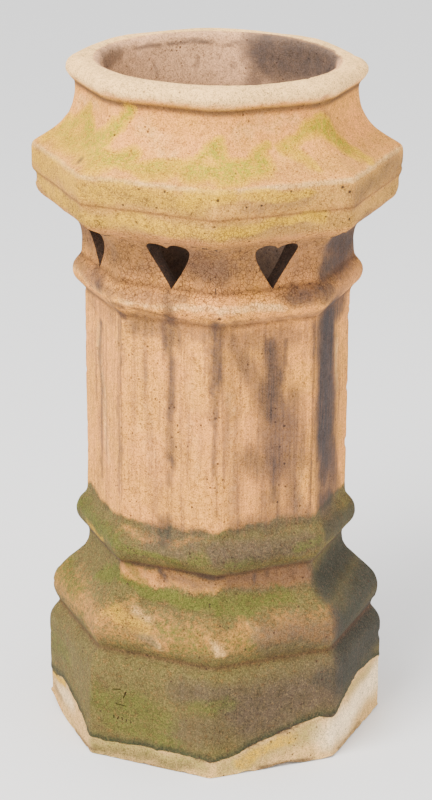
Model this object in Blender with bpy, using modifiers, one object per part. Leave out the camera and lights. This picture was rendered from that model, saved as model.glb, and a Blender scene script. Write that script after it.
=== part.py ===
"""An octagonal fireclay chimney pot: flared crown, heart-shaped smoke vents, plain shaft and moulded foot.

The pot is pressed in one piece and is hollow from end to end. It stands on its foot, with +Z up and the
middle of its underside at the origin. Sizes are in metres and angles in degrees.
"""

from math import cos, hypot, pi, radians, sin, tan

import bmesh
import bpy
from mathutils import Matrix, Vector

NAME = "chimney_pot"

# The plan is a regular octagon. Radii are measured to its arrises, where two faces would meet if they
# were sharp, and each projection is measured from the arris of the shaft.
SIDES = 8
SHAFT_RADIUS = 0.1465
SHAFT_HEIGHT = 0.2413

# Each arris is rounded in plan, gently on the shaft and crown and broadly around the mouth.
FOOT_ROUNDING = 0.010
SHAFT_ROUNDING = 0.006
BEAD_ROUNDING = 0.012
NECK_ROUNDING = 0.020
CROWN_ROUNDING = 0.006
THROAT_ROUNDING = 0.050
LIP_ROUNDING = 0.070

# Foot: an upright plinth with a sloping top, a deep torus above it, and a cove up to the lower bead.
PLINTH_PROJECTION = 0.0447
PLINTH_HEIGHT = 0.1045
PLINTH_ROLL = 0.022
PLINTH_SLOPE = 42
RECESS_PROJECTION = 0.0315
TORUS_PROJECTION = 0.0403
TORUS_ROLL = 0.030
TORUS_UNDERCUT = 35
TORUS_SLOPE = 49
COVE_SWEEP = 0.0275
COVE_HEIGHT = 0.007
COVE_DEPTH = 0.0019

# The two beads have straight flanks and a round nose.
BEAD_SLOPE = 45
LOWER_BEAD_PROJECTION = 0.0130
LOWER_BEAD_ROLL = 0.020
UPPER_BEAD_PROJECTION = 0.0142
UPPER_BEAD_ROLL = 0.016

# Crown: a short neck, a sweep out to a plain band, a fascia that oversails it, and a wide cove.
NECK_PROJECTION = 0.0030
NECK_HEIGHT = 0.0197
NECK_SWEEP = 0.038
SPLAY_SLOPE = 63
SPLAY_ROLL = 0.016
BAND_PROJECTION = 0.0513
BAND_HEIGHT = 0.0141
FASCIA_STEP = 0.0039
FASCIA_ROLL = 0.0035
FASCIA_HEIGHT = 0.0268
FASCIA_ARRIS = 0.003
CROWN_SLOPE = 60
CROWN_SWEEP = 0.052
THROAT_PROJECTION = 0.0099
THROAT_HEIGHT = 0.0129

# Lip: a fat roll with rounded corners around the mouth.
LIP_PROJECTION = 0.0222
LIP_SLOPE = 48
LIP_ROLL = 0.009
LIP_CROWN = 0.0167
LIP_RISE = 0.0104

# Walls, measured square to the faces.
WALL = 0.0265
NECK_WALL = 0.020
THROAT_WALL = 0.0222
LIP_WALL = 0.030
MOUTH_ROLL = 0.009

# Smoke vents: hearts cut square through the neck, point down, on every face but two opposite ones.
VENT_WIDTH = 0.048
VENT_HEIGHT = 0.053
VENT_NOTCH = 0.006
VENT_DROP = 0.002
PLAIN_FACES = (2, 6)

# Fineness of the facets.
BEND_STEP = 15
CORNER_POINTS = 3
FLUE_FACETS = 48
CUT_MARGIN = 0.02

CLAY_COLOUR = (0.52, 0.36, 0.22, 1.0)
CLAY_ROUGHNESS = 0.9


class Section:
    """Half of an upright section, drawn from the ground up as points of radius, level and rounding.

    The rounding is that of the arrises in plan.
    """

    def __init__(self, radius, level, rounding=0):
        self.rounding = rounding
        self.points = []
        self.line_to(radius, level)

    def radius(self):
        return self.points[-1][0]

    def level(self):
        return self.points[-1][1]

    def line_to(self, radius, level):
        self.points.append((radius, level, self.rounding))

    def rise(self, height):
        self.line_to(self.radius(), self.level() + height)

    def lean_to(self, radius, lean):
        """Runs straight up to a radius. The lean is from upright, outwards, or inwards if negative."""
        self.line_to(radius, self.level() + (radius - self.radius()) / tan(radians(lean)))

    def bend(self, roll, lean_from, lean_to, rounding_to=None):
        """Turns from one lean to another on an arc, while the rounding grows or shrinks to a new one."""
        rounding_from = self.rounding
        rounding_to = rounding_from if rounding_to is None else rounding_to
        side = 1 if lean_to > lean_from else -1
        start_radius = self.radius() + side * roll * cos(radians(lean_from))
        start_level = self.level() - side * roll * sin(radians(lean_from))
        steps = max(2, round(abs(lean_to - lean_from) / BEND_STEP))
        for step in range(1, steps + 1):
            lean = radians(lean_from + (lean_to - lean_from) * step / steps)
            self.rounding = rounding_from + (rounding_to - rounding_from) * step / steps
            self.line_to(start_radius - side * roll * cos(lean), start_level + side * roll * sin(lean))

    def bead(self, nose_radius, roll, slope, back_radius):
        """Leans out to a round nose and back in again."""
        self.lean_to(nose_radius - roll * (1 - cos(radians(slope))), slope)
        self.bend(roll, slope, -slope)
        self.lean_to(back_radius, -slope)


def across_flats(radius):
    """Distance from the axis to a face whose arrises are at a radius."""
    return radius * cos(pi / SIDES)


def draw_foot(section, levels):
    """Draws the plinth, recess, torus and cove."""
    section.rise(PLINTH_HEIGHT)
    levels["plinth_top"] = section.level()
    section.bend(PLINTH_ROLL, 0, -PLINTH_SLOPE)
    section.lean_to(SHAFT_RADIUS + RECESS_PROJECTION, -PLINTH_SLOPE)
    levels["recess"] = section.level()
    torus = SHAFT_RADIUS + TORUS_PROJECTION
    section.lean_to(torus - TORUS_ROLL * (1 - cos(radians(TORUS_UNDERCUT))), TORUS_UNDERCUT)
    section.bend(TORUS_ROLL, TORUS_UNDERCUT, -TORUS_SLOPE)
    levels["torus_top"] = section.level()
    cove = SHAFT_RADIUS - COVE_DEPTH
    section.lean_to(cove + COVE_SWEEP * (1 - cos(radians(TORUS_SLOPE))), -TORUS_SLOPE)
    section.bend(COVE_SWEEP, -TORUS_SLOPE, 0)
    section.rise(COVE_HEIGHT)
    levels["cove_top"] = section.level()


def draw_crown(section, levels):
    """Draws the neck and the sweep above it, the band, fascia, cove and throat."""
    levels["neck_foot"] = section.level()
    section.rounding = NECK_ROUNDING
    section.rise(NECK_HEIGHT)
    levels["neck_top"] = section.level()
    section.bend(NECK_SWEEP, 0, SPLAY_SLOPE, BEAD_ROUNDING)
    band = SHAFT_RADIUS + BAND_PROJECTION
    section.lean_to(band - SPLAY_ROLL * (1 - cos(radians(SPLAY_SLOPE))), SPLAY_SLOPE)
    section.bend(SPLAY_ROLL, SPLAY_SLOPE, 0, CROWN_ROUNDING)
    levels["band_foot"] = section.level()
    section.rise(BAND_HEIGHT)
    fascia = band + FASCIA_STEP
    section.line_to(fascia - FASCIA_ROLL, section.level())
    section.bend(FASCIA_ROLL, 90, 0)
    section.rise(FASCIA_HEIGHT)
    levels["fascia_top"] = section.level()
    section.bend(FASCIA_ARRIS, 0, -CROWN_SLOPE)
    throat = SHAFT_RADIUS + THROAT_PROJECTION
    section.lean_to(throat + CROWN_SWEEP * (1 - cos(radians(CROWN_SLOPE))), -CROWN_SLOPE)
    section.bend(CROWN_SWEEP, -CROWN_SLOPE, 0, THROAT_ROUNDING)
    levels["throat"] = section.level()
    section.rise(THROAT_HEIGHT)
    levels["lip_foot"] = section.level()


def draw_lip(section, levels):
    """Draws the lip, from its sloping underside over the nose to its crest."""
    nose = SHAFT_RADIUS + LIP_PROJECTION
    section.rounding = LIP_ROUNDING
    section.lean_to(nose - LIP_ROLL * (1 - cos(radians(LIP_SLOPE))), LIP_SLOPE)
    section.bend(LIP_ROLL, LIP_SLOPE, 0)
    nose_level = section.level()
    steps = round(90 / BEND_STEP)
    for step in range(1, steps + 1):
        turn = radians(90 * step / steps)
        section.line_to(nose - LIP_CROWN * (1 - cos(turn)), nose_level + LIP_RISE * sin(turn))
    levels["crest"] = section.level()


def draw_outside():
    """Returns the whole outer section and the levels at which its members meet."""
    levels = {}
    section = Section(SHAFT_RADIUS + PLINTH_PROJECTION, 0, FOOT_ROUNDING)
    draw_foot(section, levels)
    section.rounding = BEAD_ROUNDING
    section.bead(SHAFT_RADIUS + LOWER_BEAD_PROJECTION, LOWER_BEAD_ROLL, BEAD_SLOPE, SHAFT_RADIUS)
    section.rounding = SHAFT_ROUNDING
    section.rise(SHAFT_HEIGHT)
    section.rounding = BEAD_ROUNDING
    neck = SHAFT_RADIUS + NECK_PROJECTION
    section.bead(SHAFT_RADIUS + UPPER_BEAD_PROJECTION, UPPER_BEAD_ROLL, BEAD_SLOPE, neck)
    draw_crown(section, levels)
    draw_lip(section, levels)
    return section.points, levels


def draw_flue(levels):
    """Returns the section of the hollow, which keeps a wall of clay behind each member."""
    flue = across_flats(SHAFT_RADIUS) - WALL
    neck = across_flats(SHAFT_RADIUS + NECK_PROJECTION) - NECK_WALL
    foot = across_flats(SHAFT_RADIUS + PLINTH_PROJECTION) - WALL
    recess = across_flats(SHAFT_RADIUS + RECESS_PROJECTION) - WALL
    crown = across_flats(SHAFT_RADIUS + BAND_PROJECTION) - WALL
    throat = across_flats(SHAFT_RADIUS + THROAT_PROJECTION) - THROAT_WALL
    mouth = across_flats(SHAFT_RADIUS + LIP_PROJECTION) - LIP_WALL
    section = Section(foot, -CUT_MARGIN)
    section.line_to(foot, levels["plinth_top"])
    section.line_to(recess, levels["recess"])
    section.line_to(recess, levels["torus_top"] - WALL / 2)
    section.line_to(flue, levels["cove_top"] - WALL)
    section.line_to(flue, levels["neck_foot"] - NECK_WALL)
    section.line_to(neck, levels["neck_foot"])
    section.line_to(neck, levels["neck_top"] + NECK_WALL)
    section.line_to(crown, levels["band_foot"] + BAND_HEIGHT / 2)
    section.line_to(crown, levels["fascia_top"] - WALL)
    section.line_to(throat, levels["throat"] - WALL)
    section.line_to(mouth, levels["crest"] - MOUTH_ROLL)
    section.bend(MOUTH_ROLL, 0, 90)
    section.rise(CUT_MARGIN)
    return section.points


def link(thing, collection):
    """Puts an object in a collection and returns it."""
    collection.objects.link(thing)
    return thing


def new_collection(name):
    """Returns a new collection of the scene."""
    collection = bpy.data.collections.new(name)
    bpy.context.scene.collection.children.link(collection)
    return collection


def turned(name, points, facets, collection):
    """Returns a solid turned around the Z axis from a section drawn from the ground up."""
    outline = [(0, points[0][1]), *(point[:2] for point in points), (0, points[-1][1])]
    vertices = [(radius, 0, level) for radius, level in reversed(outline)]
    mesh = bpy.data.meshes.new(name)
    mesh.from_pydata(vertices, [(i, i + 1) for i in range(len(vertices) - 1)], [])
    thing = link(bpy.data.objects.new(name, mesh), collection)
    screw = thing.modifiers.new("Turn", "SCREW")
    screw.steps = facets
    screw.render_steps = facets
    screw.use_merge_vertices = True
    screw.merge_threshold = 0.00001
    return thing


def fixed(thing):
    """Replaces an object by one that holds its finished mesh, in the same place and collection."""
    finished = thing.evaluated_get(bpy.context.evaluated_depsgraph_get())
    mesh = bpy.data.meshes.new_from_object(finished)
    name = thing.name
    matrix = thing.matrix_world.copy()
    collection = thing.users_collection[0]
    bpy.data.objects.remove(thing)
    copy = link(bpy.data.objects.new(name, mesh), collection)
    copy.matrix_world = matrix
    return copy


def square_off(body, points):
    """Moves the points of a round turned body onto an octagon with rounded arrises.

    Each arris takes neighbouring columns of points, which lie on the arc that rounds it.
    """
    columns = SIDES * CORNER_POINTS
    middle = (CORNER_POINTS - 1) / 2
    for vertex in body.data.vertices:
        radius = vertex.co.xy.length
        if radius < MOUTH_ROLL:
            continue
        nearest = min(points, key=lambda point: hypot(point[0] - radius, point[1] - vertex.co.z))
        rounding = nearest[2]
        bearing = vertex.co.xy.angle_signed(Vector((1, 0)))
        column = round(bearing / (2 * pi) * columns) % columns
        arris = (column // CORNER_POINTS + 0.5) * 2 * pi / SIDES
        spread = (column % CORNER_POINTS - middle) / middle * pi / SIDES
        inset = radius - rounding / cos(pi / SIDES)
        vertex.co.x = inset * cos(arris) + rounding * cos(arris + spread)
        vertex.co.y = inset * sin(arris) + rounding * sin(arris + spread)


def heart(name, depth, collection):
    """Returns a heart-shaped cutter that stands on its point and runs along Y."""
    half = VENT_WIDTH / 2
    notch = VENT_HEIGHT - VENT_NOTCH
    shoulder = 0.79 * VENT_HEIGHT
    corners = [
        ((0, 0), (0, 0), (0.24 * half, 0.17 * VENT_HEIGHT)),
        ((half, shoulder), (0.86 * half, 0.58 * VENT_HEIGHT), (1.07 * half, 0.93 * VENT_HEIGHT)),
        ((0.52 * half, VENT_HEIGHT), (0.80 * half, VENT_HEIGHT), (0.28 * half, VENT_HEIGHT)),
        ((0, notch), (0.08 * half, notch + 0.4 * VENT_NOTCH), (-0.08 * half, notch + 0.4 * VENT_NOTCH)),
        ((-0.52 * half, VENT_HEIGHT), (-0.28 * half, VENT_HEIGHT), (-0.80 * half, VENT_HEIGHT)),
        ((-half, shoulder), (-1.07 * half, 0.93 * VENT_HEIGHT), (-0.86 * half, 0.58 * VENT_HEIGHT)),
    ]
    curve = bpy.data.curves.new(name, "CURVE")
    curve.dimensions = "2D"
    curve.fill_mode = "BOTH"
    curve.resolution_u = 4
    curve.extrude = depth / 2
    spline = curve.splines.new("BEZIER")
    spline.bezier_points.add(len(corners) - 1)
    spline.use_cyclic_u = True
    for point, (place, before, after) in zip(spline.bezier_points, corners):
        point.co = (*place, 0)
        point.handle_left = (*before, 0)
        point.handle_right = (*after, 0)
    return link(bpy.data.objects.new(name, curve), collection)


def vent_cutters(levels, collection):
    """Returns one heart for each vented face, set square to it."""
    inner = across_flats(SHAFT_RADIUS) - WALL - CUT_MARGIN
    outer = across_flats(SHAFT_RADIUS + BAND_PROJECTION) + CUT_MARGIN
    level = levels["neck_foot"] - VENT_DROP
    cutters = []
    for face in range(SIDES):
        if face in PLAIN_FACES:
            continue
        cutter = heart(f"vent_{face}", outer - inner, collection)
        turn = Matrix.Rotation(face * 2 * pi / SIDES, 4, "Z")
        place = Matrix.Translation((0, -(inner + outer) / 2, level))
        cutter.matrix_world = turn @ place @ Matrix.Rotation(pi / 2, 4, "X")
        bpy.context.view_layer.update()
        cutters.append(weld(fixed(cutter)))
    return cutters


def weld(thing):
    """Joins the loose caps of a filled curve's mesh to its sides."""
    shape = bmesh.new()
    shape.from_mesh(thing.data)
    bmesh.ops.remove_doubles(shape, verts=shape.verts, dist=0.00001)
    shape.to_mesh(thing.data)
    shape.free()
    return thing


def cut(body, cutter):
    """Takes a cutter out of the body and keeps it only as a guide."""
    difference = body.modifiers.new(f"Cut {cutter.name}", "BOOLEAN")
    difference.operation = "DIFFERENCE"
    difference.object = cutter
    cutter.hide_render = True
    cutter.display_type = "WIRE"


def fireclay():
    """Returns the buff, unglazed clay of the pot."""
    material = bpy.data.materials.new("fireclay")
    material.use_nodes = True
    shader = material.node_tree.nodes["Principled BSDF"]
    shader.inputs["Base Color"].default_value = CLAY_COLOUR
    shader.inputs["Roughness"].default_value = CLAY_ROUGHNESS
    shader.inputs["Metallic"].default_value = 0
    material.diffuse_color = CLAY_COLOUR
    return material


def main():
    for thing in list(bpy.data.objects):
        bpy.data.objects.remove(thing)
    pot = new_collection(NAME)
    cutters = new_collection("cutters")
    outside, levels = draw_outside()
    body = fixed(turned(NAME, outside, SIDES * CORNER_POINTS, pot))
    square_off(body, outside)
    body.data.materials.append(fireclay())
    cut(body, turned("flue", draw_flue(levels), FLUE_FACETS, cutters))
    for cutter in vent_cutters(levels, cutters):
        cut(body, cutter)
    body.data.shade_smooth()
    body.data.set_sharp_from_angle(angle=radians(30))


main()
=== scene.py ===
"""The looks of a weathered chimney pot: hand-finished fireclay with lichen, algae, soot and a worn foot."""

from math import atan2, cos, degrees, hypot, pi, radians, sin

import bmesh
import bpy
import numpy as np
from bpy.props import FloatProperty, FloatVectorProperty, PointerProperty
from mathutils import Matrix, Vector, noise


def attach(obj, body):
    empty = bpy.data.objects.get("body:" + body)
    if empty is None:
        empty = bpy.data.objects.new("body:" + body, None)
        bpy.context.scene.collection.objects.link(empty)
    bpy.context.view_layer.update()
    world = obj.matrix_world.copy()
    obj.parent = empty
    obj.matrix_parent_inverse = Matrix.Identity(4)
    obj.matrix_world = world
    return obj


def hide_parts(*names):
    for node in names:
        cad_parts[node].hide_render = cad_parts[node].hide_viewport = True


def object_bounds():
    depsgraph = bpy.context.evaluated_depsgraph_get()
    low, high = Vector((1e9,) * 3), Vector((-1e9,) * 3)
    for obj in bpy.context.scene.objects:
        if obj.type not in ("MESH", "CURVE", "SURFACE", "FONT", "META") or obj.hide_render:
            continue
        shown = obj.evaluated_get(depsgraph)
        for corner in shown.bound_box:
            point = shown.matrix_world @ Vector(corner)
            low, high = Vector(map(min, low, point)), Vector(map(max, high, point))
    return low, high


bl_info = {
    "name": "Weathered chimney pot",
    "version": (1, 0, 0),
    "blender": (4, 5, 0),
    "location": "View3D > Sidebar > Chimney Pot",
    "description": "Dresses an octagonal fireclay chimney pot",
    "category": "Object",
}

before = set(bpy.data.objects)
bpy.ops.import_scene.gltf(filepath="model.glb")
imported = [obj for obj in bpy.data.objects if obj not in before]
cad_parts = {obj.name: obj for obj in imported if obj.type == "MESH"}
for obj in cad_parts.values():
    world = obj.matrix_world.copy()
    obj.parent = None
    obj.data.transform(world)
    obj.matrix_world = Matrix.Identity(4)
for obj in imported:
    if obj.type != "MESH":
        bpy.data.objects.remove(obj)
cad_low, cad_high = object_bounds()

NODE = "chimney_pot"
PIECE = "weathered_pot"
SIDES = 8
HALF_SIDE = pi / SIDES
MM = 0.001

# The photograph's place: it looks at one arris, which is called the front arris, from a little above.
FRONT_ARRIS = 22.5
CAMERA_DISTANCE = 2.7473
CAMERA_HEIGHT = 1.3610
CAMERA_PITCH = 19.787
CAMERA_ROLL = 0.640
CAMERA_ASIDE = 0.002
FOCAL_PIXELS = 2612.7
PHOTO_HEIGHT = 800
FILM = 36

# Fineness of the pot's mesh.
OUTSIDE_STEP = 3.2 * MM
INSIDE_STEP = 9.0 * MM
COLUMNS = 26
ARRIS_COLUMNS = 3

# How a pot that was pressed in pieces and joined by hand departs from a true octagon:
# level, turn in degrees, and shift to the right as the photograph sees it.
LEAN = [
    (0.000, -1.1, 4.0 * MM),
    (0.130, -0.3, 3.6 * MM),
    (0.240, 0.5, 3.2 * MM),
    (0.540, 0.8, 2.6 * MM),
    (0.620, 0.1, 0.4 * MM),
    (0.762, 0.0, 0.0),
]

# Bearings are in degrees around the pot from the front arris, positive to the right.
VENTED = (-22.5, 22.5, 112.5, 157.5, -157.5, -67.5)
VENT_TIP = 0.5425
VENT_WIDTH = 48 * MM
VENT_HEIGHT = 53 * MM
VENT_NOTCH = 6 * MM
VENT_ASIDE = {-22.5: 4.5 * MM, 22.5: 4.5 * MM, 112.5: 1.0 * MM, 157.5: -2.0 * MM, -157.5: 2.0 * MM, -67.5: 0.0}

# Wear of the clay.
ARRIS_CHIP = 1.6 * MM
PIT_DEPTH = 1.1 * MM
MORTAR_LIP = 0.5 * MM
MORTAR_STEP = 0.9 * MM

# Bites out of the bottom edge: bearing, height and half width in degrees.
BITES = [(-90, 12 * MM, 9.5), (27, 3 * MM, 6), (171, 4 * MM, 7)]

# The line that the old mortar left on the plinth: bearing and level.
MORTAR_LINE = [
    (-180, 0.036), (-150, 0.030), (-120, 0.034), (-100, 0.040), (-86, 0.042), (-76, 0.048), (-64, 0.043),
    (-54, 0.034), (-47, 0.020), (-38, 0.019), (-23, 0.021), (-4, 0.021), (2, 0.017), (10, 0.025), (17, 0.034),
    (25, 0.041), (33, 0.049), (40, 0.052), (47, 0.050), (53, 0.060), (60, 0.066), (67, 0.072), (82, 0.069),
    (100, 0.052), (130, 0.040), (155, 0.044), (180, 0.036),
]


def linear(hex_colour):
    """Turns an sRGB hex colour into a linear one with full opacity."""
    values = [int(hex_colour[i:i + 2], 16) / 255 for i in (0, 2, 4)]
    return (*(v / 12.92 if v <= 0.04045 else ((v + 0.055) / 1.055) ** 2.4 for v in values), 1.0)


def hex_of(colour):
    """A colour property as the sRGB hex code that it was chosen by."""
    return "".join(f"{round(channel * 255):02X}" for channel in colour)


def wrap(bearing):
    """Brings a bearing between -180 and 180 degrees."""
    return (bearing + 180) % 360 - 180


def outward(bearing):
    """Unit vector away from the axis at a bearing from the front arris."""
    turn = radians(bearing + FRONT_ARRIS)
    return Vector((sin(turn), -cos(turn), 0))


def smooth_step(low, high, values):
    """Rises smoothly from 0 at low to 1 at high."""
    share = np.clip((values - low) / (high - low), 0, 1)
    return share * share * (3 - 2 * share)


def noise_at(points, size, seed):
    """Perlin noise, about -1 to 1, with features of a size in metres."""
    offset = Vector((seed * 17.3, seed * 5.1, seed * 9.7))
    return np.array([noise.noise(Vector(point) / size + offset) for point in points]) * 1.6


def read_section(solid):
    """Reads the CAD solid along one arris.

    Returns the outside as radius, level and rounding, from the ground up, and the inside as radius and
    level, from the lip down.
    """
    shape = bmesh.new()
    shape.from_mesh(solid.data)
    bmesh.ops.remove_doubles(shape, verts=shape.verts, dist=0.01 * MM)
    along = outward(0)
    across = Vector((-along.y, along.x, 0))
    on_arris = {v for v in shape.verts if abs(v.co.dot(across)) < 0.05 * MM and v.co.dot(along) > 0}
    here = max((v for v in on_arris if v.co.z < 0.05 * MM), key=lambda v: v.co.dot(along))
    path = [here]
    while True:
        near = [e.other_vert(here) for e in here.link_edges if e.other_vert(here) in on_arris]
        near = [v for v in near if v not in path]
        if not near:
            break
        if len(path) == 1:
            here = max(near, key=lambda v: v.co.z)
        else:
            here = min(near, key=lambda v: (v.co - here.co).length)
        path.append(here)
    top = max(range(len(path)), key=lambda i: path[i].co.z)
    face = outward(180 / SIDES)
    outside = []
    for vert in path[:top + 1]:
        radius = vert.co.dot(along)
        ring = [e.other_vert(vert) for e in vert.link_edges]
        ring = [v for v in ring if abs(v.co.z - vert.co.z) < 0.01 * MM and v not in on_arris]
        beside = min(ring, key=lambda v: abs(v.co.xy.length - radius))
        flat = abs(max(beside.co.dot(face), beside.co.dot(outward(-180 / SIDES))))
        rounding = (flat / cos(HALF_SIDE) - radius) / (1 / cos(HALF_SIDE) - 1)
        outside.append((radius, vert.co.z, max(0, rounding)))
    inside = [(v.co.dot(along), v.co.z) for v in path[top + 1:]]
    shape.free()
    return np.array(outside), np.array(inside)


def respaced(points, step, close_run=0.0):
    """Spreads points evenly along a path, and more closely over its first stretch."""
    lengths = np.r_[0, np.cumsum(np.hypot(*np.diff(points[:, :2], axis=0).T))]
    count = max(2, round((lengths[-1] - close_run) / step) + 1)
    at = np.r_[np.arange(0, close_run, OUTSIDE_STEP), np.linspace(close_run, lengths[-1], count)]
    return np.column_stack([np.interp(at, lengths, column) for column in points.T])


def softened(points, rounds):
    """Eases the corners of an evenly spaced path, as a wet sponge does, and keeps its two ends."""
    for _ in range(rounds):
        points[1:-1] = (points[:-2] + 2 * points[1:-1] + points[2:]) / 4
    return points


def turned(name, outside, inside):
    """Spins a section, drawn as an open chain of edges, into a closed body.

    Each vertex keeps its place along the section in the attribute called row.
    """
    chain = [(r, z) for r, z, _ in outside] + [(r, z) for r, z in inside]
    mesh = bpy.data.meshes.new(name)
    vertices = [outward(0) * radius + Vector((0, 0, level)) for radius, level in chain]
    mesh.from_pydata(vertices, [(i, (i + 1) % len(chain)) for i in range(len(chain))], [])
    mesh.attributes.new("row", "INT", "POINT").data.foreach_set("value", range(len(chain)))
    body = bpy.data.objects.new(name, mesh)
    bpy.context.scene.collection.objects.link(body)
    bpy.ops.object.select_all(action="DESELECT")
    bpy.context.view_layer.objects.active = body
    body.select_set(True)
    bpy.ops.object.mode_set(mode="EDIT")
    bpy.ops.mesh.select_all(action="SELECT")
    bpy.ops.mesh.spin(steps=SIDES * COLUMNS, angle=2 * pi, center=(0, 0, 0), axis=(0, 0, 1))
    bpy.ops.mesh.select_all(action="SELECT")
    bpy.ops.mesh.remove_doubles(threshold=0.02 * MM)
    bpy.ops.mesh.normals_make_consistent(inside=False)
    bpy.ops.object.mode_set(mode="OBJECT")
    return body


def points_of(mesh):
    """The vertices of a mesh as an array."""
    flat = np.empty(len(mesh.vertices) * 3, np.float32)
    mesh.vertices.foreach_get("co", flat)
    return flat.reshape(-1, 3).astype(float)


def normals_of(mesh):
    """The vertex normals of a mesh as an array."""
    flat = np.empty(len(mesh.vertices) * 3, np.float32)
    mesh.vertex_normals.foreach_get("vector", flat)
    return flat.reshape(-1, 3).astype(float)


def move_points(mesh, points):
    """Writes an array back as a mesh's vertices."""
    mesh.vertices.foreach_set("co", points.astype(np.float32).ravel())
    mesh.update()


def bearings_of(points):
    """Bearing of each point from the front arris, in degrees."""
    return wrap(np.degrees(np.arctan2(points[:, 0], -points[:, 1])) - FRONT_ARRIS)


def press_octagon(body, outside, inside):
    """Presses the turned outside into an octagon whose arrises are rounded as the section says.

    Columns crowd around each arris and spread over the faces.
    """
    mesh = body.data
    points = points_of(mesh)
    rows = np.empty(len(mesh.vertices), np.int32)
    mesh.attributes["row"].data.foreach_get("value", rows)
    radius = np.r_[outside[:, 0], inside[:, 0]][rows]
    level = np.r_[outside[:, 1], inside[:, 1]][rows]
    rounding = np.r_[outside[:, 2], np.zeros(len(inside))][rows]
    column = np.round(bearings_of(points) / 360 * SIDES * COLUMNS).astype(int)
    arris = np.round(column / COLUMNS)
    beside = column - arris * COLUMNS
    side = np.sign(beside)
    beside = np.abs(beside)
    spread = np.minimum(beside, ARRIS_COLUMNS) / ARRIS_COLUMNS * HALF_SIDE
    inset = radius - rounding
    along = inset + rounding * np.cos(spread)
    aside = rounding * np.sin(spread)
    flat_half = inset * sin(HALF_SIDE)
    run = np.maximum(0, beside - ARRIS_COLUMNS) / (COLUMNS / 2 - ARRIS_COLUMNS) * flat_half
    along -= run * sin(HALF_SIDE)
    aside += run * cos(HALF_SIDE)
    turn = np.radians(arris * 360 / SIDES + FRONT_ARRIS)
    aside *= side
    outer = rows < len(outside)
    points[outer, 0] = (along * np.sin(turn) + aside * np.cos(turn))[outer]
    points[outer, 1] = (-along * np.cos(turn) + aside * np.sin(turn))[outer]
    points[:, 2] = level
    move_points(mesh, points)
    mesh.attributes.remove(mesh.attributes["row"])


def lean_by_hand(points):
    """Turns and shifts each level a little, as the hand-joined pot has it."""
    levels, turns, shifts = (np.array(column) for column in zip(*LEAN))
    turn = np.radians(np.interp(points[:, 2], levels, turns))
    shift = np.interp(points[:, 2], levels, shifts)
    right = radians(FRONT_ARRIS)
    x = points[:, 0] * np.cos(turn) - points[:, 1] * np.sin(turn)
    y = points[:, 0] * np.sin(turn) + points[:, 1] * np.cos(turn)
    points[:, 0] = x + shift * cos(right)
    points[:, 1] = y + shift * sin(right)


def mortar_level(bearing):
    """Level of the mortar line at each bearing."""
    return np.interp(bearing, *zip(*MORTAR_LINE))


def spot(bearing, level, at, high, wide, tall):
    """A soft round patch, 1 at its middle. Its half width is in degrees and its half height in metres."""
    return np.exp(-((wrap(bearing - at) / wide) ** 2) - ((level - high) / tall) ** 2)


def brushed(bearing, level, half_width, path):
    """A brush stroke along a path of bearings and levels: 1 along its middle, falling away past its half width.

    Everything is in millimetres here, and a degree of bearing counts as three of them.
    """
    across = bearing * 3.0
    up = level
    nearest = np.full(len(across), 1e9)
    for (b0, z0), (b1, z1) in zip(path[:-1], path[1:]):
        start = np.array((b0 * 3.0, z0))
        run = np.array((b1 * 3.0, z1)) - start
        share = ((across - start[0]) * run[0] + (up - start[1]) * run[1]) / max(run @ run, 1e-9)
        share = np.clip(share, 0, 1)
        away = np.hypot(across - start[0] - share * run[0], up - start[1] - share * run[1])
        nearest = np.minimum(nearest, away)
    return np.exp(-np.log(2) * (nearest / half_width) ** 3)


def roughen(mesh, settings):
    """Gives the clay its unevenness: slumps, tool dents, worn arrises, chips, pits and the broken foot."""
    points = points_of(mesh)
    normals = normals_of(mesh)
    bearing = bearings_of(points)
    level = points[:, 2].copy()
    radius = np.hypot(points[:, 0], points[:, 1])
    depth = settings.slump * noise_at(points, 0.110, 1)
    depth += settings.dents * noise_at(points, 0.030, 2)
    grain = noise_at(points, 0.009, 3)
    depth += settings.grain * grain
    near_arris = np.exp(-(wrap((bearing + 22.5) % 45 - 22.5) / 1.6) ** 2)
    chips = smooth_step(0.42, 0.8, noise_at(points, 0.016, 4))
    depth -= ARRIS_CHIP * near_arris * chips
    pits = smooth_step(0.66, 0.95, noise_at(points, 0.0075, 5))
    depth -= PIT_DEPTH * pits
    line = mortar_level(bearing)
    above = level - line + 2.0 * MM * noise_at(points, 0.014, 6)
    outer = radius > 0.155
    depth += outer * MORTAR_LIP * np.exp(-((above - 1.5 * MM) / (3 * MM)) ** 2)
    depth -= outer * MORTAR_STEP * smooth_step(1 * MM, -2 * MM, above)
    for at, high, wide, tall, deep in DENTS:
        depth -= deep * spot(bearing, level, at, high, wide, tall) * (radius > 0.12)
    still = smooth_step(0.2 * MM, 2.0 * MM, level)
    points += normals * (depth * still)[:, None]
    crumbs = smooth_step(-0.1, 0.9, noise_at(points * (1, 1, 0), 0.012, 7)) * settings.crumbs
    broken = sum(high * np.exp(-(wrap(bearing - at) / wide) ** 2) for at, high, wide in BITES)
    rim = smooth_step(0.150, 0.172, radius)
    foot = (crumbs + broken) * rim
    points[:, 2] = np.where(level < 0.03, np.maximum(points[:, 2], foot), points[:, 2])
    points[:, 2] = np.where(level < 0.1 * MM, np.where(rim > 0.02, points[:, 2], 0), points[:, 2])
    return points


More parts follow.
